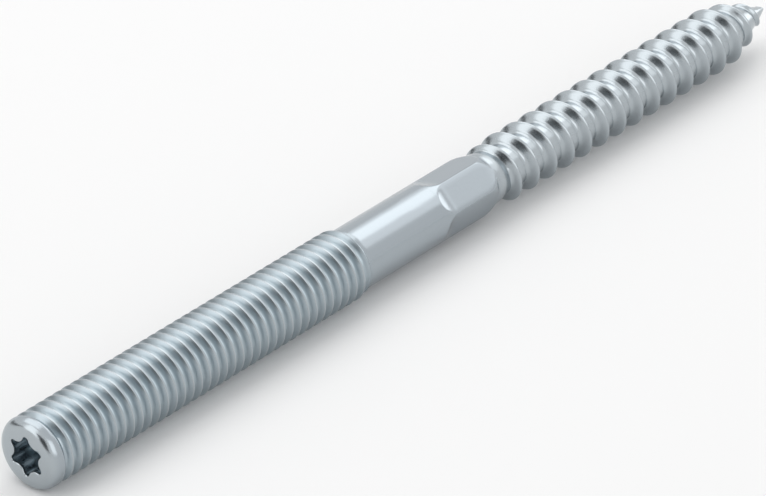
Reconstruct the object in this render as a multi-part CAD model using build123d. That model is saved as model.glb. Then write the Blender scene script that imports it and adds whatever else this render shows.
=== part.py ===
"""Hanger bolt, M8 x 120: a machine thread at one end, a wood thread with a gimlet point at the other.

One piece of cold-formed, thread-rolled steel. It lies with its axis along +X, the drive end at -X and
the point at +X, and rests on the XY plane. Lengths are in millimetres and angles in degrees. Stations
are distances from the drive end along the axis, and turns about the axis are right-handed about +X.
"""

from build123d import *
from math import atan, cos, degrees, radians, sin, sqrt, tan
import os

# ---- Driving dimensions ---------------------------------------------------------------------------

overall_length = 120.0

# Machine thread, M8 coarse. The solid is its crest cylinder; the fine thread form is a surface detail.
machine_major_diameter = 7.88
machine_thread_length = 48.4
machine_run_out = 1.0

# Drive end: a flat face with a rounded rim, and a six-lobe recess of size 25.
end_rounding = 1.15
recess_across_tips = 4.5
recess_across_waists = 3.25
recess_tip_radius = 0.38
recess_depth = 2.7
recess_drill_angle = 120.0
recess_turn = 30.8

# Shank, with six wrench flats pressed into it at the wood-thread end.
shank_diameter = 7.0
flats_count = 6
flats_across = 6.1
flats_start = 60.4
flats_tool_radius = 5.0
flats_turn = 15.4

# Shoulder and neck between the flats and the wood thread. The shoulder falls in two slopes.
shoulder_start = 67.4
shoulder_break = 68.7
shoulder_break_diameter = 6.7
neck_start = 69.7
neck_diameter = 6.05

# Wood thread, coarse and right-handed. Its ridge passes over the top of the bolt at the first crest.
wood_major_diameter = 7.3
wood_root_diameter = 5.2
wood_pitch = 3.0
wood_flank_angle = 30.0
wood_first_crest = 71.75
wood_run_in = 3.0

# Gimlet point: the crests and the roots run down to a blunt tip on two ogives.
point_crest_length = 9.4
point_root_length = 8.8
point_tip_diameter = 0.4
point_fullness = 1.6

# Ridge height that is left where the thread has faded out, and the strips that make one turn.
faded_height = 0.03
strips_per_turn = 4


# ---- Wood thread ----------------------------------------------------------------------------------

def smooth_step(start, end, x):
    """0 before start and 1 after end, with no corner at either."""
    share = min(1.0, max(0.0, (x - start) / (end - start)))
    return share * share * (3 - 2 * share)


def point_radius(x, full_radius, length):
    """Full radius up to the given length from the tip, then an ogive down to the tip's radius."""
    tip_radius = point_tip_diameter / 2
    share = min(1.0, max(0.0, (x - (overall_length - length)) / length))
    return tip_radius + (full_radius - tip_radius) * (1 - share ** point_fullness)


def wood_section(x):
    """Root, crest and root of the ridge whose crest is at x, each as (distance along the axis, radius).

    The ridge rises from the neck over the run-in, and the root has its full depth from the start.
    """
    neck_radius = neck_diameter / 2 - faded_height
    crest_radius = wood_major_diameter / 2
    root_radius = wood_root_diameter / 2
    grown = smooth_step(neck_start, neck_start + wood_run_in, x)
    crest = min(neck_radius + (crest_radius - neck_radius) * grown,
                point_radius(x, crest_radius, point_crest_length))
    root = min(point_radius(x, root_radius, point_root_length), crest - faded_height)
    flank = (crest - root) * tan(radians(wood_flank_angle))
    return [(x - flank, root), (x, crest), (x + flank, root)]


def helical_solid(first_crest, pitch, steps, section):
    """Solid under a right-hand thread whose ridge passes over the top of the bolt at first_crest.

    Each step is a share of a turn. In it, every edge of the section is a short cylindrical or conical
    helix, and neighbouring edges are joined by ruled strips: flank, flank, and the root that reaches
    the next turn. At both ends the root edge is closed on the axis, by a helicoid and a flat.
    """
    step_angle = 360 / strips_per_turn
    edge_count = len(section(first_crest))

    def corner(edge, step):
        x, radius = section(first_crest + pitch * step / strips_per_turn)[edge]
        turned = radians(step * step_angle)
        return Vector(x, -radius * sin(turned), radius * cos(turned))

    def strand(edge, step):
        x, radius = section(first_crest + pitch * step / strips_per_turn)[edge]
        next_x, next_radius = section(first_crest + pitch * (step + 1) / strips_per_turn)[edge]
        advance = next_x - x
        taper = atan((next_radius - radius) / advance)
        helix = Edge.make_helix(strips_per_turn * advance / cos(taper), advance, radius,
                                center=(x, 0, 0), normal=(1, 0, 0), angle=degrees(taper))
        return helix.rotate(Axis.X, step * step_angle)

    strands = {(edge, step): strand(edge, step) for step in range(steps) for edge in range(edge_count)}
    strands.update({(0, steps + step): strand(0, steps + step) for step in range(strips_per_turn)})

    skin = []
    for step in range(steps):
        for edge in range(edge_count):
            following = (edge + 1, step) if edge + 1 < edge_count else (0, step + strips_per_turn)
            skin.append(Face.make_surface_from_curves(strands[following], strands[(edge, step)]))
    for end in (0, steps):
        turn = range(end, end + strips_per_turn + 1)
        on_axis = [Vector(corner(0, step).X, 0, 0) for step in turn]
        for step, start, stop in zip(turn, on_axis, on_axis[1:]):
            skin.append(Face.make_surface_from_curves(strands[(0, step)], Edge.make_line(start, stop)))
        ridge = [corner(edge, end) for edge in range(edge_count)] + [corner(0, end + strips_per_turn)]
        skin.append(Face(Wire.make_polygon(ridge + on_axis[::-1], close=True)))

    solid = Solid(Shell(skin))
    if solid.volume < 0:
        solid = Solid(Shell([-face for face in skin]))
    return solid


def wood_thread():
    """Threaded end from the neck to the tip, cut square at both."""
    lead_in = 2
    turns = int((overall_length - neck_start) / wood_pitch) + 2 * lead_in
    thread = helical_solid(wood_first_crest - lead_in * wood_pitch, wood_pitch, turns * strips_per_turn,
                           wood_section)
    length = overall_length - neck_start
    slab = Box(length, 2 * shank_diameter, 2 * shank_diameter, align=(Align.MIN, Align.CENTER, Align.CENTER))
    return thread & Pos(neck_start, 0, 0) * slab


# ---- Turned and pressed forms ---------------------------------------------------------------------

def turned_blank():
    """Rounded end, machine thread, shank, shoulder and neck, as one turned outline."""
    thread_radius = machine_major_diameter / 2
    face_radius = thread_radius - end_rounding
    shank_radius = shank_diameter / 2
    with BuildPart() as blank:
        with BuildSketch(Plane.XY):
            with BuildLine():
                Line((0, 0), (0, face_radius))
                CenterArc((end_rounding, face_radius), end_rounding, start_angle=90, arc_size=90)
                Polyline((end_rounding, thread_radius),
                         (machine_thread_length - machine_run_out, thread_radius),
                         (machine_thread_length, shank_radius),
                         (shoulder_start, shank_radius),
                         (shoulder_break, shoulder_break_diameter / 2),
                         (neck_start, neck_diameter / 2),
                         (neck_start, 0),
                         (0, 0))
            make_face()
        revolve(axis=Axis.X)
    return blank.part


def flat_press():
    """Tool that presses one flat: level over the flat, then rising on its own radius."""
    depth = (shank_diameter - flats_across) / 2
    level = flats_across / 2
    level_start = flats_start + sqrt(depth * (2 * flats_tool_radius - depth))
    top = level + flats_tool_radius
    with BuildPart() as tool:
        with BuildSketch(Plane.XZ):
            with BuildLine():
                RadiusArc((level_start, level), (level_start - flats_tool_radius, top), flats_tool_radius)
                Polyline((level_start - flats_tool_radius, top), (neck_start, top), (neck_start, level),
                         (level_start, level))
            make_face()
        extrude(amount=shank_diameter, both=True)
    return tool.part


def drive_recess():
    """Six-lobe recess: round tips joined by tangent round waists, with a drill-point bottom."""
    tip_centre = recess_across_tips / 2 - recess_tip_radius
    waist = recess_across_waists / 2
    lean = tip_centre * cos(radians(30))
    waist_radius = ((recess_tip_radius ** 2 - tip_centre ** 2 - waist ** 2 + 2 * waist * lean)
                    / (2 * (waist - lean - recess_tip_radius)))
    waist_centre = waist + waist_radius
    tangent_share = recess_tip_radius / (recess_tip_radius + waist_radius)

    def polar(radius, angle):
        return Vector(radius * cos(radians(angle)), radius * sin(radians(angle)))

    outline = []
    for lobe in range(6):
        tip_angle = 60 * lobe
        centre = polar(tip_centre, tip_angle)
        before = centre + (polar(waist_centre, tip_angle - 30) - centre) * tangent_share
        after = centre + (polar(waist_centre, tip_angle + 30) - centre) * tangent_share
        outline.append((before, polar(recess_across_tips / 2, tip_angle), after))
    with BuildPart() as tool:
        with BuildSketch(Plane.YZ):
            with BuildLine():
                for lobe, (before, tip, after) in enumerate(outline):
                    following = outline[(lobe + 1) % 6][0]
                    ThreePointArc(before, tip, after)
                    ThreePointArc(after, polar(waist, 60 * lobe + 30), following)
            make_face()
        extrude(amount=recess_depth)
    drill_depth = waist / tan(radians(recess_drill_angle / 2))
    point = Cone(waist, 0.01, drill_depth, align=(Align.CENTER, Align.CENTER, Align.MIN))
    return tool.part + Pos(recess_depth, 0, 0) * Rot(0, 90, 0) * point


def hanger_bolt():
    blank = turned_blank()
    for side in range(flats_count):
        blank -= Rot(flats_turn - 90 + side * 360 / flats_count, 0, 0) * flat_press()
    blank -= Rot(recess_turn, 0, 0) * drive_recess()
    return blank + wood_thread()


os.makedirs("parts", exist_ok=True)
lying = Pos(-overall_length / 2, 0, machine_major_diameter / 2)
export_step(lying * hanger_bolt(), "parts/hanger_bolt.step")
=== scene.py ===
"""Dresses the hanger bolt: both threads, the pressed flats and the drive recess, in bright zinc plating.

The whole bolt is one closed skin. Stations are distances from the drive end along the bolt's axis, and
turns are angles about that axis, from +Y towards +Z. Lengths are in metres and angles in radians, apart
from the millimetres and degrees in which most defaults and the lamps' places are written.
"""

from math import atan2, cos, pi, radians, sin, sqrt, tan

import bmesh
import bpy
import numpy as np
from bpy.props import FloatProperty, FloatVectorProperty, IntProperty, PointerProperty
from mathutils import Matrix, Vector


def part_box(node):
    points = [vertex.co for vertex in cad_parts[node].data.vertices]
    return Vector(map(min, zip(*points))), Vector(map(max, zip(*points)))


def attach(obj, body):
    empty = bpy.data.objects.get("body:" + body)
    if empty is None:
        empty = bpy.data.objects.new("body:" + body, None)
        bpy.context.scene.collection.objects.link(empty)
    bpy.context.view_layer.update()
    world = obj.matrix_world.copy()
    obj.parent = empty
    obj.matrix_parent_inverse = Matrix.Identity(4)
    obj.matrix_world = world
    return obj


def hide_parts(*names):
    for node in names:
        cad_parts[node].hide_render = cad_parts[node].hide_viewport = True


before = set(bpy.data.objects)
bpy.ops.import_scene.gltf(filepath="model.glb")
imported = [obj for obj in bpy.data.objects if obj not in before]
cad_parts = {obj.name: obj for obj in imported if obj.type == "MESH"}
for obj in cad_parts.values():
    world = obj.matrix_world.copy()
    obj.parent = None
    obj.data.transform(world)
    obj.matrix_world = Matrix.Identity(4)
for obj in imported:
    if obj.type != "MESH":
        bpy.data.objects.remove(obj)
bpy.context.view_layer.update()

bl_info = {
    "name": "Hanger bolt",
    "version": (1, 0, 0),
    "blender": (4, 5, 0),
    "location": "View3D > Sidebar > Hanger bolt",
    "description": "Builds the plated skin of a hanger bolt and a plain studio round it",
    "category": "Object",
}

MM = 0.001
BOLT_NODE = "hanger_bolt"

# Both threads have 60 degrees between their flanks, and the recess and the flats both repeat six times.
FLANK_ANGLE = radians(30)
SIDES = 6
HALF_SIDE = pi / SIDES


# ---- Sizes and colours ----------------------------------------------------------------------------

def length(name, description, millimetres):
    """A length property, written in millimetres and kept in metres."""
    return FloatProperty(name=name, description=description, default=millimetres * MM, min=0.0,
                         unit="LENGTH", precision=5)


def turn(name, description, degrees):
    """An angle property, written in degrees and kept in radians."""
    return FloatProperty(name=name, description=description, default=radians(degrees), unit="ROTATION")


def metal_color(name, description, color):
    """A reflected colour, as red, green and blue."""
    return FloatVectorProperty(name=name, description=description, size=4, subtype="COLOR",
                               default=(*color, 1.0), min=0.0, max=1.0)


def factor(name, description, default):
    """A number from 0 to 1."""
    return FloatProperty(name=name, description=description, default=default, min=0.0, max=1.0,
                         subtype="FACTOR")


class MachineThreadSizes(bpy.types.PropertyGroup):
    thread_length: length("Length", "From the drive end to the end of the run-out", 48.4)
    pitch: length("Pitch", "Distance from crest to crest", 1.25)
    minor_diameter: length("Minor diameter", "Across the roots", 6.5)
    crest_width: length("Crest width", "Flat left on each crest before it is rounded", 0.16)
    crest_rounding: length("Crest rounding", "Height over which a crest is rounded", 0.06)
    root_rounding: length("Root rounding", "Height over which a root is rounded", 0.16)
    first_crest: length("First crest", "Station of a crest at a turn of 0", 0.80)
    run_out: length("Run-out", "Length over which the thread fades into the shank", 1.5)
    rows_per_pitch: IntProperty(name="Rows per pitch", description="Mesh rows along one pitch",
                                default=12, min=4)


class DriveEndSizes(bpy.types.PropertyGroup):
    rounding: length("Rim rounding", "Radius of the rounded rim", 1.15)
    across_tips: length("Across tips", "Recess, from lobe to lobe", 4.5)
    across_waists: length("Across waists", "Recess, from waist to waist", 3.25)
    tip_radius: length("Tip radius", "Radius of each lobe", 0.38)
    depth: length("Depth", "Depth of the recess walls", 2.7)
    drill_angle: turn("Drill angle", "Full angle of the recess's conical bottom", 120.0)
    edge_rounding: length("Edge rounding", "Radius where the recess meets the end face", 0.12)
    recess_turn: turn("Recess turn", "Turn of one lobe", 30.8)


class ShankSizes(bpy.types.PropertyGroup):
    diameter: length("Diameter", "Plain shank", 7.0)
    flats_across: length("Across flats", "Between opposite wrench flats", 6.1)
    flats_start: length("Flats start", "Station where the tool first touches the shank", 60.4)
    flats_tool_radius: length("Tool radius", "Radius on which a flat rises to the shank", 5.0)
    flats_turn: turn("Flats turn", "Turn of one flat's middle", 15.4)
    edge_rounding: length("Edge rounding", "Height over which a flat's edges are rounded", 0.07)
    shoulder_start: length("Shoulder start", "Station where the shoulder leaves the shank", 67.4)
    neck_start: length("Neck start", "Station where the shoulder meets the wood thread", 69.7)
    neck_diameter: length("Neck diameter", "Across the neck", 6.05)
    neck_rounding: length("Neck rounding", "Height over which the shoulder runs into the neck", 0.12)


class WoodThreadSizes(bpy.types.PropertyGroup):
    major_diameter: length("Major diameter", "Across the crests", 7.3)
    root_diameter: length("Root diameter", "Across the root", 5.2)
    pitch: length("Pitch", "Distance from crest to crest", 3.0)
    crest_width: length("Crest width", "Flat left on each crest before it is rounded", 0.22)
    crest_rounding: length("Crest rounding", "Height over which a crest is rounded", 0.26)
    root_rounding: length("Root rounding", "Height over which a root is rounded", 0.20)
    first_crest: length("First crest", "Station of a crest at a turn of 0", 71.0)
    run_in: length("Run-in", "Length over which the ridge rises from the neck", 3.0)
    point_crest_length: length("Point, crests", "Length over which the crests run down to the tip", 9.4)
    point_root_length: length("Point, root", "Length over which the root runs down to the tip", 8.8)
    point_tip_diameter: length("Tip diameter", "Blunt end of the point", 0.4)
    point_fullness: FloatProperty(name="Point fullness", default=1.6, min=1.0,
                                  description="Power of the ogives: 1 is a cone, and more is rounder")
    rows_per_pitch: IntProperty(name="Rows per pitch", description="Mesh rows along one pitch",
                                default=24, min=4)


class PlatingLook(bpy.types.PropertyGroup):
    base_color: metal_color("Plating", "Reflected colour of the shank and flats", (0.36, 0.40, 0.43))
    rolled_color: metal_color("Rolled thread", "Reflected colour of the fine thread", (0.385, 0.445, 0.48))
    # Pale is a paler tone on the end face and the wood thread, and a painted highlight on the fine thread's
    # crests.
    pale_and_crest_highlight_color: metal_color("Pale zinc", "Reflected colour of the end face, the wood thread and the fine "
                            "thread's crests", (0.42, 0.46, 0.485))
    roughness: factor("Roughness", "Roughness away from the fine thread", 0.22)
    rolled_roughness: factor("Rolled roughness", "Roughness of the fine thread", 0.31)
    grain_scale: FloatProperty(name="Grain scale", description="Grains along one metre", default=2600.0)
    grain_strength: factor("Grain strength", "Strength of the plating's grain", 0.16)
    line_scale: FloatProperty(name="Line scale", description="Rolled lines along one metre of the axis",
                              default=7000.0)
    line_stretch: FloatProperty(name="Line stretch", description="Lines across one metre, fewer for longer "
                                "lines", default=450.0)
    line_strength: factor("Line strength", "Strength of the lines away from the fine thread", 0.05)
    rolled_line_strength: factor("Rolled line strength", "Strength of the lines on the fine thread", 0.35)
    relief: length("Relief", "Height of the grain and of the lines", 0.02)


class StudioLook(bpy.types.PropertyGroup):
    azimuth: turn("Azimuth", "Camera's turn about the upright axis; 0 looks along +Y", -49.55)
    elevation: turn("Elevation", "Camera's height above the horizon", 31.36)
    distance: FloatProperty(name="Distance", description="From the camera to what it aims at",
                            default=0.5314, unit="LENGTH")
    aim: FloatVectorProperty(name="Aim", description="What the camera looks at", size=3, subtype="XYZ",
                             unit="LENGTH", precision=5, default=(-0.0074, -0.0011, 0.00394))
    lens: FloatProperty(name="Lens", description="Focal length in millimetres", default=239.12,
                        unit="CAMERA")
    floor_color: FloatVectorProperty(name="Floor", description="Colour of the floor", size=3,
                                     subtype="COLOR", default=(0.93, 0.93, 0.93))
    plain_light: factor("Plain light", "Level of the world's light on whatever isn't a mirror", 0.6)


class HangerBoltSettings(bpy.types.PropertyGroup):
    columns: IntProperty(name="Columns", description="Mesh columns round the bolt, a multiple of 12",
                         default=96, min=48)
    drive_end: PointerProperty(type=DriveEndSizes)
    machine_thread: PointerProperty(type=MachineThreadSizes)
    shank: PointerProperty(type=ShankSizes)
    wood_thread: PointerProperty(type=WoodThreadSizes)
    plating: PointerProperty(type=PlatingLook)
    studio: PointerProperty(type=StudioLook)


# ---- Curves and grids -----------------------------------------------------------------------------

def smooth_step(start, end, x):
    """0 before start, 1 after end, and between them 3t^2 - 2t^3 of the share t of the way."""
    way = np.clip((x - start) / (end - start), 0.0, 1.0)
    return way * way * (3.0 - 2.0 * way)


def between(first, second, way):
    """First, plus the share of the way from first to second."""
    return first + (second - first) * way


def soft_min(a, b, rounding):
    """The smaller of a and b, less up to a quarter of the rounding where they cross."""
    way = np.clip(0.5 + 0.5 * (b - a) / rounding, 0.0, 1.0)
    return between(b, a, way) - rounding * way * (1.0 - way)


def soft_max(a, b, rounding):
    """The larger of a and b, plus up to a quarter of the rounding where they cross."""
    return -soft_min(-a, -b, rounding)


def ridge_radius(offset, crest, root, crest_width, crest_rounding, root_rounding):
    """Radius of a thread at a distance along the axis from the middle of the nearest crest.

    It is the crest's over the crest's width, and beyond that falls at the flank's slope until it meets
    the root. Both meetings are rounded, and it never passes the crest.
    """
    flank = crest - (np.abs(offset) - crest_width / 2) / tan(FLANK_ANGLE)
    radius = soft_max(soft_min(crest, flank, crest_rounding), root, root_rounding)
    return np.minimum(radius, crest)


def crowded_fractions(rows, waves, crowding):
    """Rising fractions of a pitch from 0, even ones less a sine that crowds them at each of its waves."""
    even = np.arange(rows) / rows
    return even - crowding * np.sin(waves * 2 * pi * even) / (waves * 2 * pi)


class Skin:
    """Sheets of quads that are joined into one closed mesh, each a grid of stations, radii and turns.

    Points nearer than the merge distance become one, and edges shorter than a sliver are closed.
    """

    MERGE_DISTANCE = 1e-7
    SLIVER_LENGTH = 1e-8

    def __init__(self):
        self.points = []
        self.quads = []
        self.count = 0

    def add(self, station, radius, angle, quads):
        """A grid point lies on the axis at its station, and out from it by its radius at its angle."""
        drive_end, axis_height = bolt_axis()
        x = drive_end + station
        y = radius * np.cos(angle)
        z = axis_height + radius * np.sin(angle)
        self.points.append(np.stack(np.broadcast_arrays(x, y, z), axis=-1).reshape(-1, 3))
        self.quads.append(quads + self.count)
        self.count += station.size

    def add_rings(self, station, radius, angle):
        """Rings closed on themselves: each column meets the next, and the last meets the first."""
        station, radius, angle = np.broadcast_arrays(station, radius, angle)
        rows, columns = station.shape
        index = np.arange(rows * columns).reshape(rows, columns)
        following = np.roll(index, -1, axis=1)
        quads = np.stack([index[:-1], following[:-1], following[1:], index[1:]], axis=-1)
        self.add(station, radius, angle, quads.reshape(-1, 4))

    def add_helix(self, first_crest, pitch, start, end, fractions, angle, radius_at):
        """Rows that follow a right-hand helix, so that crests and roots keep their edges.

        A row at a fraction of a pitch climbs one pitch in a turn, and its last column meets the first
        column of the row that lies a pitch further on. Its radius depends on its station and on its
        offset, which is its distance from the nearest crest. Stations are held between start and end,
        where the rows run together into a ring, and quads that lie wholly outside are left out.
        """
        turns = int(np.ceil((end - start) / pitch)) + 3
        before = np.floor((start - first_crest) / pitch) - 1
        rows = (np.arange(turns)[:, None] + fractions[None, :]).reshape(-1)
        climb = angle[None, :] / (2 * pi)
        free = first_crest + pitch * (before + rows[:, None] + climb)
        offset = pitch * (((rows + 0.5) % 1.0) - 0.5)[:, None]
        station = np.clip(free, start, end)
        radius = radius_at(station, offset)
        count, columns, step = len(rows), len(angle), len(fractions)
        index = np.arange(count * columns).reshape(count, columns)
        low = index[: count - step - 1]
        following = np.concatenate([index[:, 1:], np.roll(index[:, :1], -step, axis=0)], axis=1)
        next_low = following[: count - step - 1]
        high = index[1 : count - step]
        next_high = following[1 : count - step]
        quads = np.stack([low, next_low, next_high, high], axis=-1).reshape(-1, 4)
        at = free.reshape(-1)[quads]
        inside = (at.max(axis=1) > start) & (at.min(axis=1) < end)
        self.add(station, radius, np.broadcast_to(angle, station.shape), quads[inside])

    def mesh(self, name):
        """One mesh of all the sheets, with the rings that they share merged and its faces outwards."""
        mesh = bpy.data.meshes.new(name)
        mesh.from_pydata(np.concatenate(self.points), [], np.concatenate(self.quads))
        work = bmesh.new()
        work.from_mesh(mesh)
        bmesh.ops.remove_doubles(work, verts=work.verts, dist=self.MERGE_DISTANCE)
        bmesh.ops.dissolve_degenerate(work, edges=work.edges, dist=self.SLIVER_LENGTH)
        bmesh.ops.recalc_face_normals(work, faces=work.faces)
        work.to_mesh(mesh)
        work.free()
        return mesh


def bolt_axis():
    """Where the drive end lies along X, and the height of the bolt's axis."""
    low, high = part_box(BOLT_NODE)
    return low.x, (low.z + high.z) / 2


def bolt_length():
    """Distance from the drive end to the tip."""
    low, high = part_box(BOLT_NODE)
    return high.x - low.x


def thread_radius():
    """Crest radius of the machine thread, the widest part of the bolt."""
    low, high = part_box(BOLT_NODE)
    return (high.y - low.y) / 2


def column_angles(settings):
    """Evenly spread turns, with one column on the middle of a flat."""
    return settings.shank.flats_turn + np.arange(settings.columns) * 2 * pi / settings.columns


# ---- Drive end ------------------------------------------------------------------------------------

def lobe_outline(sizes, angle):
    """Radius of the six-lobe recess at an angle measured from the middle of a lobe.

    Near the lobe's middle it is the far side of the tip's circle, and beyond the point where the two
    circles touch it is the near side of the waist's circle, whose centre lies half a lobe away.
    """
    tip_radius = sizes.tip_radius
    tip_centre = sizes.across_tips / 2 - tip_radius
    waist = sizes.across_waists / 2
    lean = tip_centre * cos(HALF_SIDE)
    waist_radius = (tip_radius**2 - tip_centre**2 - waist**2 + 2 * waist * lean) / (
        2 * (waist - lean - tip_radius))
    waist_centre = waist + waist_radius
    way = tip_radius / (tip_radius + waist_radius)
    touch_x = between(tip_centre, waist_centre * cos(HALF_SIDE), way)
    touch_y = waist_centre * sin(HALF_SIDE) * way
    from_tip = np.abs((angle + HALF_SIDE) % (2 * HALF_SIDE) - HALF_SIDE)
    from_waist = HALF_SIDE - from_tip
    tip = tip_centre * np.cos(from_tip) + np.sqrt(
        np.maximum(tip_radius**2 - (tip_centre * np.sin(from_tip)) ** 2, 0.0))
    waist_side = waist_centre * np.cos(from_waist) - np.sqrt(
        np.maximum(waist_radius**2 - (waist_centre * np.sin(from_waist)) ** 2, 0.0))
    return np.where(from_tip < atan2(touch_y, touch_x), tip, waist_side)


def even_lobe_angles(sizes, columns):
    """Angles from the middle of a lobe that share the recess's outline out evenly along its length."""
    fine_steps = SIDES * 240
    fine = np.linspace(0.0, 2 * pi, fine_steps + 1)
    radius = lobe_outline(sizes, fine)
    along = np.concatenate([[0.0], np.cumsum(np.hypot(np.diff(radius), radius[1:] * np.diff(fine)))])
    return np.interp(np.arange(columns) * along[-1] / columns, along, fine)


def add_drive_end(skin, settings):
    """End face, recess wall and recess bottom.

    Rings run in from the rim across the flat face, turn down over a quarter circle, follow the wall to
    its depth and close on the axis down a cone. Their columns slide from even turns at the rim to
    turns spread along the lobes.
    """
    face_rings = bend_rings = 5
    wall_rings = cone_rings = 8
    sizes = settings.drive_end
    plain = column_angles(settings)
    lobed = even_lobe_angles(sizes, settings.columns)
    shift = round((sizes.recess_turn - settings.shank.flats_turn) * settings.columns / (2 * pi))
    spread = np.roll(lobed, shift) - 2 * pi * (np.arange(settings.columns) < shift) + sizes.recess_turn
    outline = lobe_outline(sizes, spread - sizes.recess_turn)
    face_radius = thread_radius() - sizes.rounding

    across = np.linspace(0.0, 1.0, face_rings)[:, None]
    edge = outline + sizes.edge_rounding
    skin.add_rings(np.zeros_like(across), between(face_radius, edge, across), between(plain, spread, across))

    bend = np.linspace(0.0, pi / 2, bend_rings)[:, None]
    bend_station = sizes.edge_rounding * (1 - np.cos(bend))
    skin.add_rings(bend_station, edge - sizes.edge_rounding * np.sin(bend), spread)

    wall_station = np.linspace(sizes.edge_rounding, sizes.depth, wall_rings)[:, None]
    skin.add_rings(wall_station, outline[None, :], spread)

    inward = np.linspace(1.0, 0.0, cone_rings)[:, None]
    waist = sizes.across_waists / 2
    cone_depth = waist / tan(sizes.drill_angle / 2)
    cone_station = sizes.depth + cone_depth * np.clip(1 - inward * outline / waist, 0, 1)
    skin.add_rings(cone_station, inward * outline, spread)


# ---- Machine thread -------------------------------------------------------------------------------

def add_machine_thread(skin, settings):
    """Sixty-degree thread with rounded crests and roots, from the drive end's rim to the run-out.

    The ridges stand between a crest and a root that both run to the shank's radius over the run-out,
    and over its last stretch the whole surface settles on the shank. At the drive end the roots deepen
    from the crest's radius behind the rim, and the rim's quarter circle cuts the first turns. Rows are
    crowded at the crests and at the roots.
    """
    sizes = settings.machine_thread
    rim = settings.drive_end.rounding
    roots_start, roots_full = 0.8 * rim, 2.0 * rim
    crest_radius = thread_radius()
    root_radius = sizes.minor_diameter / 2
    shank_radius = settings.shank.diameter / 2
    end = sizes.thread_length
    settling = 0.3 * MM

    def radius_at(station, offset):
        gone = smooth_step(end - sizes.run_out, end, station)
        crest = between(crest_radius, shank_radius, gone)
        root = between(root_radius, shank_radius, gone)
        radius = ridge_radius(offset, crest, root, sizes.crest_width, sizes.crest_rounding,
                              sizes.root_rounding)
        radius = between(radius, shank_radius, smooth_step(end - settling, end, station))
        radius = between(crest, radius, smooth_step(roots_start, roots_full, station))
        into_rim = 1 - np.clip(station / rim, 0, 1)
        rounded = crest_radius - rim + rim * np.sqrt(1 - into_rim**2)
        return np.minimum(radius, rounded)

    fractions = crowded_fractions(sizes.rows_per_pitch, waves=2, crowding=0.5)
    skin.add_helix(sizes.first_crest, sizes.pitch, 0.0, end, fractions, column_angles(settings), radius_at)


# ---- Shank, flats and neck ------------------------------------------------------------------------

def blank_radius(settings, station):
    """Plain shank, then an arc that leaves it tangent and falls until the neck's radius takes over.

    The arc ends below the neck by the neck's rounding, so the meeting is a hollow curve.
    """
    sizes = settings.shank
    shank_radius = sizes.diameter / 2
    run = sizes.neck_start - sizes.shoulder_start
    drop = shank_radius - sizes.neck_diameter / 2 + sizes.neck_rounding
    arc = (run**2 + drop**2) / (2 * drop)
    past = np.maximum(station - sizes.shoulder_start, 0.0)
    fallen = shank_radius - arc + np.sqrt(arc**2 - past**2)
    return soft_max(fallen, sizes.neck_diameter / 2, sizes.neck_rounding)


def flat_height(sizes, station):
    """Distance of a flat from the axis: level, and rising on the tool's radius towards the thread."""
    level = sizes.flats_across / 2
    depth = sizes.diameter / 2 - level
    level_start = sizes.flats_start + sqrt(depth * (2 * sizes.flats_tool_radius - depth))
    back = np.clip(level_start - station, 0.0, sizes.flats_tool_radius)
    return level + sizes.flats_tool_radius - np.sqrt(sizes.flats_tool_radius**2 - back**2)


def shank_stations(settings):
    """Stations of the shank's rings, close together where the flats begin and along the shoulder."""
    plain_rings, ramp_rings, level_rings, shoulder_rings = 10, 40, 8, 32
    sizes = settings.shank
    ramp_start = sizes.flats_start - 0.5 * MM
    ramp_end = sizes.flats_start + 3.0 * MM
    step_out = 0.1 * MM
    plain = np.linspace(settings.machine_thread.thread_length, ramp_start - step_out, plain_rings)
    ramp = np.linspace(ramp_start, ramp_end, ramp_rings)
    level = np.linspace(ramp_end + step_out, sizes.shoulder_start, level_rings)[:-1]
    shoulder = np.linspace(sizes.shoulder_start, sizes.neck_start, shoulder_rings)
    return np.concatenate([plain, ramp, level, shoulder])[:, None]


def flat_columns(settings, station, half_width):
    """Angles of one side's columns from its flat's middle, with a column along each edge of the flat.

    Most columns share out the flat's own width evenly, and the rest share out the corner. They slide
    from even angles before the flats, and back to them before the neck.
    """
    sizes = settings.shank
    per_half = settings.columns // (2 * SIDES)
    corner_columns = 2
    edge_way = (per_half - corner_columns) / per_half
    narrowest, widest = radians(3.0), HALF_SIDE - radians(0.3)
    slide_in_start, slide_in_end = sizes.flats_start - 6.0 * MM, sizes.flats_start - 0.5 * MM
    slide_out_start = sizes.neck_start - 0.9 * MM

    way = np.arange(-per_half, per_half) / per_half
    edge = np.clip(half_width, narrowest, widest)
    on_flat = edge * way / edge_way
    past_edge = np.sign(way) * between(edge, HALF_SIDE, (np.abs(way) - edge_way) / (1 - edge_way))
    fitted = np.where(np.abs(way) <= edge_way, on_flat, past_edge)
    fit = smooth_step(slide_in_start, slide_in_end, station)
    fit = fit * (1 - smooth_step(slide_out_start, sizes.neck_start, station))
    return between(way * HALF_SIDE, fitted, fit)


def add_shank(skin, settings):
    """Shank, six pressed flats and shoulder.

    A ring's radius is the smaller of the blank's and of the nearest flat's height over the cosine of
    the angle from that flat's middle. The flats sink to the neck's radius over their last stretch, and
    the first and last rings are the plain circles that the threads start from.
    """
    sizes = settings.shank
    sinking = 1.2 * MM
    neck_radius = sizes.neck_diameter / 2
    station = shank_stations(settings)
    blank = blank_radius(settings, station)
    sunk = smooth_step(sizes.neck_start - sinking, sizes.neck_start, station)
    height = between(flat_height(sizes, station), neck_radius, sunk)
    half_width = np.arccos(np.clip(height / blank, -1.0, 1.0))
    local = flat_columns(settings, station, half_width)
    radius = soft_min(blank, height / np.cos(local), sizes.edge_rounding)

    middle_column = local.shape[1] // 2
    flats = sizes.flats_turn + np.arange(SIDES) * 2 * HALF_SIDE
    angle = np.concatenate([local + flat for flat in flats], axis=1)
    angle = np.roll(angle, -middle_column, axis=1)
    radius = np.roll(np.tile(radius, SIDES), -middle_column, axis=1)
    radius[0] = sizes.diameter / 2
    radius[-1] = neck_radius
    skin.add_rings(station, radius, angle)


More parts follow.
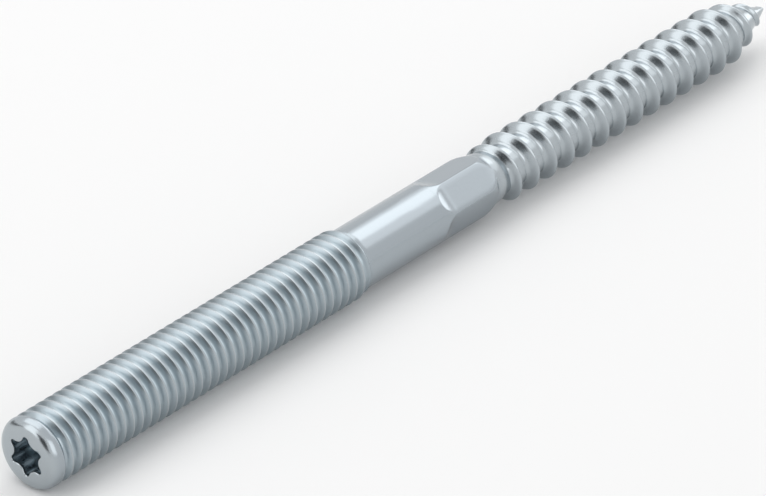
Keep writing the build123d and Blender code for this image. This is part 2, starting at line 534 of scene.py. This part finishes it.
# ---- Wood thread ----------------------------------------------------------------------------------

def point_radius(sizes, station, full_radius, point_length):
    """Full radius up to the point, and then the tip's, plus the rest times 1 less a power of the way."""
    tip_radius = sizes.point_tip_diameter / 2
    way = np.clip((station - (bolt_length() - point_length)) / point_length, 0.0, 1.0)
    return between(tip_radius, full_radius, 1 - way**sizes.point_fullness)


def add_wood_thread(skin, settings):
    """Tall sixty-degree ridge on a slim root, from the neck to the tip of the gimlet point.

    Crest and root part from the neck's radius over the run-in, and fall to the tip on two ogives. The
    roundings are never higher than the ridge, and a flat disc closes the tip. Rows are crowded round
    the crest and spread out over the root.
    """
    sizes = settings.wood_thread
    start = settings.shank.neck_start
    end = bolt_length()
    neck_radius = settings.shank.neck_diameter / 2
    crest_radius = sizes.major_diameter / 2
    root_radius = sizes.root_diameter / 2
    lowest_ridge = 1e-9
    tip_rings = 4

    def radius_at(station, offset):
        held = 1 - smooth_step(start, start + sizes.run_in, station)
        crest = point_radius(sizes, station, crest_radius, sizes.point_crest_length)
        crest = crest + (neck_radius - crest_radius) * held
        root = point_radius(sizes, station, root_radius, sizes.point_root_length)
        root = root + (neck_radius - root_radius) * held
        height = np.maximum(crest - root, lowest_ridge)
        crest_rounding = np.minimum(sizes.crest_rounding, height)
        root_rounding = np.minimum(sizes.root_rounding, height)
        return ridge_radius(offset, crest, root, sizes.crest_width, crest_rounding, root_rounding)

    angle = column_angles(settings)
    fractions = crowded_fractions(sizes.rows_per_pitch, waves=1, crowding=0.72)
    skin.add_helix(sizes.first_crest, sizes.pitch, start, end, fractions, angle, radius_at)
    inward = np.linspace(1.0, 0.0, tip_rings)[:, None]
    skin.add_rings(np.full_like(inward, end), inward * sizes.point_tip_diameter / 2, angle)


# ---- Finishes and painted crest highlight ---------------------------------------------------------

def mark_finishes_and_crest_highlight(mesh, settings):
    """Marks two finishes as point attributes that go from 0 to 1.

    Rolled is the fine thread, between the rim and the run-out. Pale is the end face with its rim and the
    wood thread from the neck on, which are a paler tone, and the fine thread's crests, where the paler
    colour is no finish but a painted highlight that makes each crest read as a lit line.
    """
    drive_end, axis_height = bolt_axis()
    points = np.empty(len(mesh.vertices) * 3, dtype=np.float32)
    mesh.vertices.foreach_get("co", points)
    x, y, z = points.reshape(-1, 3).T
    station = x - drive_end
    radius = np.hypot(y, z - axis_height)

    rim = settings.drive_end.rounding
    thread = settings.machine_thread
    run_out_start = thread.thread_length - thread.run_out
    begun = smooth_step(rim, 2.0 * rim, station)
    rolled = begun * (1 - smooth_step(run_out_start, thread.thread_length, station))

    neck = settings.shank.neck_start
    neck_fade = 1.0 * MM
    crest_start, crest_full = thread_radius() - 0.12 * MM, thread_radius() - 0.02 * MM
    end_face = 1 - smooth_step(0.0, 0.8 * rim, station)
    wood_thread = smooth_step(neck - neck_fade, neck + neck_fade, station)
    # Painted highlight: the fine thread's crests are marked paler, as if they caught the light.
    crests = rolled * smooth_step(crest_start, crest_full, radius)
    pale = np.maximum(end_face + wood_thread, crests)

    for name, values in (("rolled", rolled), ("pale", pale)):
        attribute = mesh.attributes.new(name, "FLOAT", "POINT")
        attribute.data.foreach_set("value", values.astype(np.float32))


def node(tree, kind, inputs=None, **values):
    """A shader node with its settings, and its inputs by name."""
    made = tree.nodes.new(kind)
    for name, value in values.items():
        setattr(made, name, value)
    for name, value in (inputs or {}).items():
        feed(tree, value, made.inputs[name])
    return made


def feed(tree, value, socket):
    """Gives a socket a plain value or another node's output."""
    if isinstance(value, bpy.types.NodeSocket):
        tree.links.new(value, socket)
    else:
        socket.default_value = value


def mixed_color(tree, way, first, second):
    """Goes from the first colour to the second as the way goes from 0 to 1."""
    mix = node(tree, "ShaderNodeMix", data_type="RGBA")
    feed(tree, way, mix.inputs[0])
    color_sockets = [socket for socket in mix.inputs if socket.type == "RGBA"]
    for socket, value in zip(color_sockets, (first, second)):
        feed(tree, value, socket)
    return next(socket for socket in mix.outputs if socket.type == "RGBA")


def ranged(tree, way, low, high):
    """Goes from low to high as the way goes from 0 to 1."""
    made = node(tree, "ShaderNodeMapRange", {"Value": way, "To Min": low, "To Max": high})
    return made.outputs["Result"]


def larger(tree, first, second):
    """The larger of two outputs."""
    made = node(tree, "ShaderNodeMath", operation="MAXIMUM")
    feed(tree, first, made.inputs[0])
    feed(tree, second, made.inputs[1])
    return made.outputs["Value"]


def zinc_plating(look):
    """Bright zinc on rolled steel: a bluish satin metal with a fine grain and faint lines round it.

    The fine thread is rougher and more lined, and the end face and wood thread are paler. The fine thread's
    crests are paler too, as a painted highlight.
    """
    material = bpy.data.materials.new("zinc_plating")
    material.use_nodes = True
    tree = material.node_tree
    shader = tree.nodes["Principled BSDF"]
    shader.inputs["Metallic"].default_value = 1.0

    rolled = node(tree, "ShaderNodeAttribute", attribute_name="rolled").outputs["Fac"]
    pale = node(tree, "ShaderNodeAttribute", attribute_name="pale").outputs["Fac"]
    color = mixed_color(tree, rolled, look.base_color, look.rolled_color)
    # The pale mix also paints a highlight on the fine thread's crests.
    feed(tree, mixed_color(tree, pale, color, look.pale_and_crest_highlight_color), shader.inputs["Base Color"])
    feed(tree, ranged(tree, rolled, look.roughness, look.rolled_roughness), shader.inputs["Roughness"])

    place = node(tree, "ShaderNodeTexCoord").outputs["Object"]
    grain = node(tree, "ShaderNodeTexNoise", {"Vector": place, "Scale": look.grain_scale, "Detail": 3.0,
                                              "Roughness": 0.6})
    grained = node(tree, "ShaderNodeBump", {"Strength": look.grain_strength, "Distance": look.relief,
                                            "Height": grain.outputs["Fac"]})
    along = (look.line_scale, look.line_stretch, look.line_stretch)
    stretch = node(tree, "ShaderNodeMapping", {"Vector": place, "Scale": along})
    lines = node(tree, "ShaderNodeTexNoise", {"Vector": stretch.outputs["Vector"], "Scale": 1.0,
                                              "Detail": 2.0, "Roughness": 0.5})
    strength = ranged(tree, rolled, look.line_strength, look.rolled_line_strength)
    lined = node(tree, "ShaderNodeBump", {"Strength": strength, "Distance": look.relief,
                                          "Height": lines.outputs["Fac"],
                                          "Normal": grained.outputs["Normal"]})
    feed(tree, lined.outputs["Normal"], shader.inputs["Normal"])
    return material


# ---- Studio ---------------------------------------------------------------------------------------

# Soft boxes: name, azimuth and elevation in degrees, width and height in metres, and energy in watts.
# The key and its core stand beyond the point, the back and top on the far side, the front on the near
# side by the drive end, and the low one beyond the point near the floor.
SOFT_BOXES = (
    ("key", 0, 46, 0.68, 0.36, 0.42),
    ("key_core", 12, 47, 0.30, 0.22, 0.17),
    ("back", 157, 30, 0.28, 0.50, 0.42),
    ("top", 90, 66, 0.50, 0.50, 0.80),
    ("front", -114, 26, 0.38, 0.38, 0.40),
    ("low", -6, 9, 0.22, 0.14, 0.14),
)
BOX_DISTANCE = 0.55

# Black cards: name, azimuth, elevation, width and height. One stands behind the drive end, and one
# lies low on the far side.
CARDS = (
    ("tall_card", -172, 12, 0.26, 0.36),
    ("low_card", 115, 5, 0.46, 0.08),
)
CARD_DISTANCE = 0.5
CARD_COLOR = (0.01, 0.012, 0.014)
CARD_ROUGHNESS = 0.5

# Floor and camera. The sensor's width is in millimetres, and the other lengths are in metres.
FLOOR_HALF = 1.5
FLOOR_ROUGHNESS = 0.9
SENSOR_WIDTH = 36.0
CLIP_START, CLIP_END = 0.01, 10.0


def toward(azimuth, elevation, distance):
    """The point at a distance from the middle of the floor, its azimuth counted from +X towards +Y."""
    azimuth, elevation = radians(azimuth), radians(elevation)
    return distance * Vector((cos(azimuth) * cos(elevation), sin(azimuth) * cos(elevation), sin(elevation)))


def add_sheet(scene, name, corners, color, roughness):
    """A flat four-cornered sheet of one plain colour."""
    mesh = bpy.data.meshes.new(name)
    mesh.from_pydata(corners, [], [(0, 1, 2, 3)])
    material = bpy.data.materials.new(name)
    material.use_nodes = True
    shader = material.node_tree.nodes["Principled BSDF"]
    shader.inputs["Base Color"].default_value = (*color, 1.0)
    shader.inputs["Roughness"].default_value = roughness
    mesh.materials.append(material)
    sheet = bpy.data.objects.new(name, mesh)
    scene.collection.objects.link(sheet)
    return sheet


def add_floor(scene, look):
    """A flat pale floor that keeps the bolt's shadow."""
    corners = [Vector((x, y, 0)) * FLOOR_HALF for x, y in ((-1, -1), (1, -1), (1, 1), (-1, 1))]
    floor = add_sheet(scene, "floor", corners, look.floor_color, FLOOR_ROUGHNESS)


def add_world(scene, look):
    """White to the camera and in reflections, and a lower plain level of light for everything else."""
    world = bpy.data.worlds.new("studio")
    scene.world = world
    world.use_nodes = True
    tree = world.node_tree
    background = tree.nodes["Background"]
    background.inputs["Color"].default_value = (1, 1, 1, 1)
    path = node(tree, "ShaderNodeLightPath").outputs
    seen = larger(tree, path["Is Camera Ray"], path["Is Glossy Ray"])
    seen = larger(tree, seen, path["Is Transmission Ray"])
    feed(tree, ranged(tree, seen, look.plain_light, 1.0), background.inputs["Strength"])


def add_soft_box(scene, name, place, width, height, energy):
    """A rectangular lamp that faces the middle of the floor."""
    lamp = bpy.data.lights.new(name, "AREA")
    lamp.shape = "RECTANGLE"
    lamp.size = width
    lamp.size_y = height
    lamp.energy = energy
    box = bpy.data.objects.new(name, lamp)
    scene.collection.objects.link(box)
    box.location = place
    box.rotation_mode = "QUATERNION"
    box.rotation_quaternion = place.to_track_quat("Z", "Y")


def add_card(scene, name, place, width, height):
    """A black card that only shows as a dark patch in the plating."""
    facing = place.to_track_quat("Z", "Y").to_matrix()
    corners = [place + facing @ Vector((x * width / 2, y * height / 2, 0))
               for x, y in ((-1, -1), (1, -1), (1, 1), (-1, 1))]
    card = add_sheet(scene, name, corners, CARD_COLOR, CARD_ROUGHNESS)
    card.visible_camera = False
    card.visible_diffuse = False
    card.visible_shadow = False


def add_camera(scene, look):
    """A long lens that looks down on the bolt from beyond its drive end."""
    back = Vector((sin(look.azimuth) * cos(look.elevation), -cos(look.azimuth) * cos(look.elevation),
                   sin(look.elevation)))
    data = bpy.data.cameras.new("camera")
    data.sensor_width = SENSOR_WIDTH
    data.lens = look.lens
    data.clip_start = CLIP_START
    data.clip_end = CLIP_END
    camera = bpy.data.objects.new("camera", data)
    scene.collection.objects.link(camera)
    camera.rotation_mode = "QUATERNION"
    camera.location = Vector(look.aim) + back * look.distance
    camera.rotation_quaternion = back.to_track_quat("Z", "Y")
    scene.camera = camera


# ---- Operators ------------------------------------------------------------------------------------

# Faces that meet at more than this keep a crisp edge between them.
SHARP_ANGLE = radians(50)


class HANGERBOLT_OT_bolt(bpy.types.Operator):
    """Builds the bolt's plated skin and sets it in place of the plain solid."""

    bl_idname = "hangerbolt.bolt"
    bl_label = "Build the bolt"

    def execute(self, context):
        settings = context.scene.hanger_bolt
        if settings.columns % (2 * SIDES):
            raise ValueError("the columns have to be a multiple of 12")
        skin = Skin()
        add_drive_end(skin, settings)
        add_machine_thread(skin, settings)
        add_shank(skin, settings)
        add_wood_thread(skin, settings)
        mesh = skin.mesh("plated_bolt")
        mark_finishes_and_crest_highlight(mesh, settings)
        mesh.shade_smooth()
        mesh.set_sharp_from_angle(angle=SHARP_ANGLE)
        bolt = bpy.data.objects.new("plated_bolt", mesh)
        context.scene.collection.objects.link(bolt)
        mesh.materials.append(zinc_plating(settings.plating))
        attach(bolt, "root")
        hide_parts(BOLT_NODE)
        return {"FINISHED"}


class HANGERBOLT_OT_studio(bpy.types.Operator):
    """Sets a plain pale floor, soft lamps and the camera round the bolt."""

    bl_idname = "hangerbolt.studio"
    bl_label = "Set the studio"

    def execute(self, context):
        scene = context.scene
        look = scene.hanger_bolt.studio
        scene.view_settings.view_transform = "Standard"
        add_floor(scene, look)
        add_world(scene, look)
        for name, azimuth, elevation, width, height, energy in SOFT_BOXES:
            add_soft_box(scene, name, toward(azimuth, elevation, BOX_DISTANCE), width, height, energy)
        for name, azimuth, elevation, width, height in CARDS:
            add_card(scene, name, toward(azimuth, elevation, CARD_DISTANCE), width, height)
        add_camera(scene, look)
        return {"FINISHED"}


# ---- Add-on ---------------------------------------------------------------------------------------

class HANGERBOLT_PT_panel(bpy.types.Panel):
    """Sizes, colours and buttons for the bolt."""

    bl_label = "Hanger bolt"
    bl_idname = "HANGERBOLT_PT_panel"
    bl_space_type = "VIEW_3D"
    bl_region_type = "UI"
    bl_category = "Hanger bolt"

    def draw(self, context):
        settings = context.scene.hanger_bolt
        layout = self.layout
        layout.prop(settings, "columns")
        for group in (settings.drive_end, settings.machine_thread, settings.shank, settings.wood_thread,
                      settings.plating, settings.studio):
            box = layout.box()
            for name in group.bl_rna.properties.keys():
                if name not in {"rna_type", "name"}:
                    box.prop(group, name)
        layout.operator(HANGERBOLT_OT_bolt.bl_idname)
        layout.operator(HANGERBOLT_OT_studio.bl_idname)


CLASSES = (MachineThreadSizes, DriveEndSizes, ShankSizes, WoodThreadSizes, PlatingLook, StudioLook,
           HangerBoltSettings, HANGERBOLT_OT_bolt, HANGERBOLT_OT_studio, HANGERBOLT_PT_panel)


def register():
    """Adds the classes, and the bolt's settings to every scene."""
    for cls in CLASSES:
        bpy.utils.register_class(cls)
    bpy.types.Scene.hanger_bolt = PointerProperty(type=HangerBoltSettings)


def unregister():
    """Takes the settings and the classes away."""
    del bpy.types.Scene.hanger_bolt
    for cls in reversed(CLASSES):
        bpy.utils.unregister_class(cls)


def main():
    """Builds the bolt and its studio."""
    register()
    bpy.ops.hangerbolt.bolt()
    bpy.ops.hangerbolt.studio()


if __name__ == "__main__":
    main()
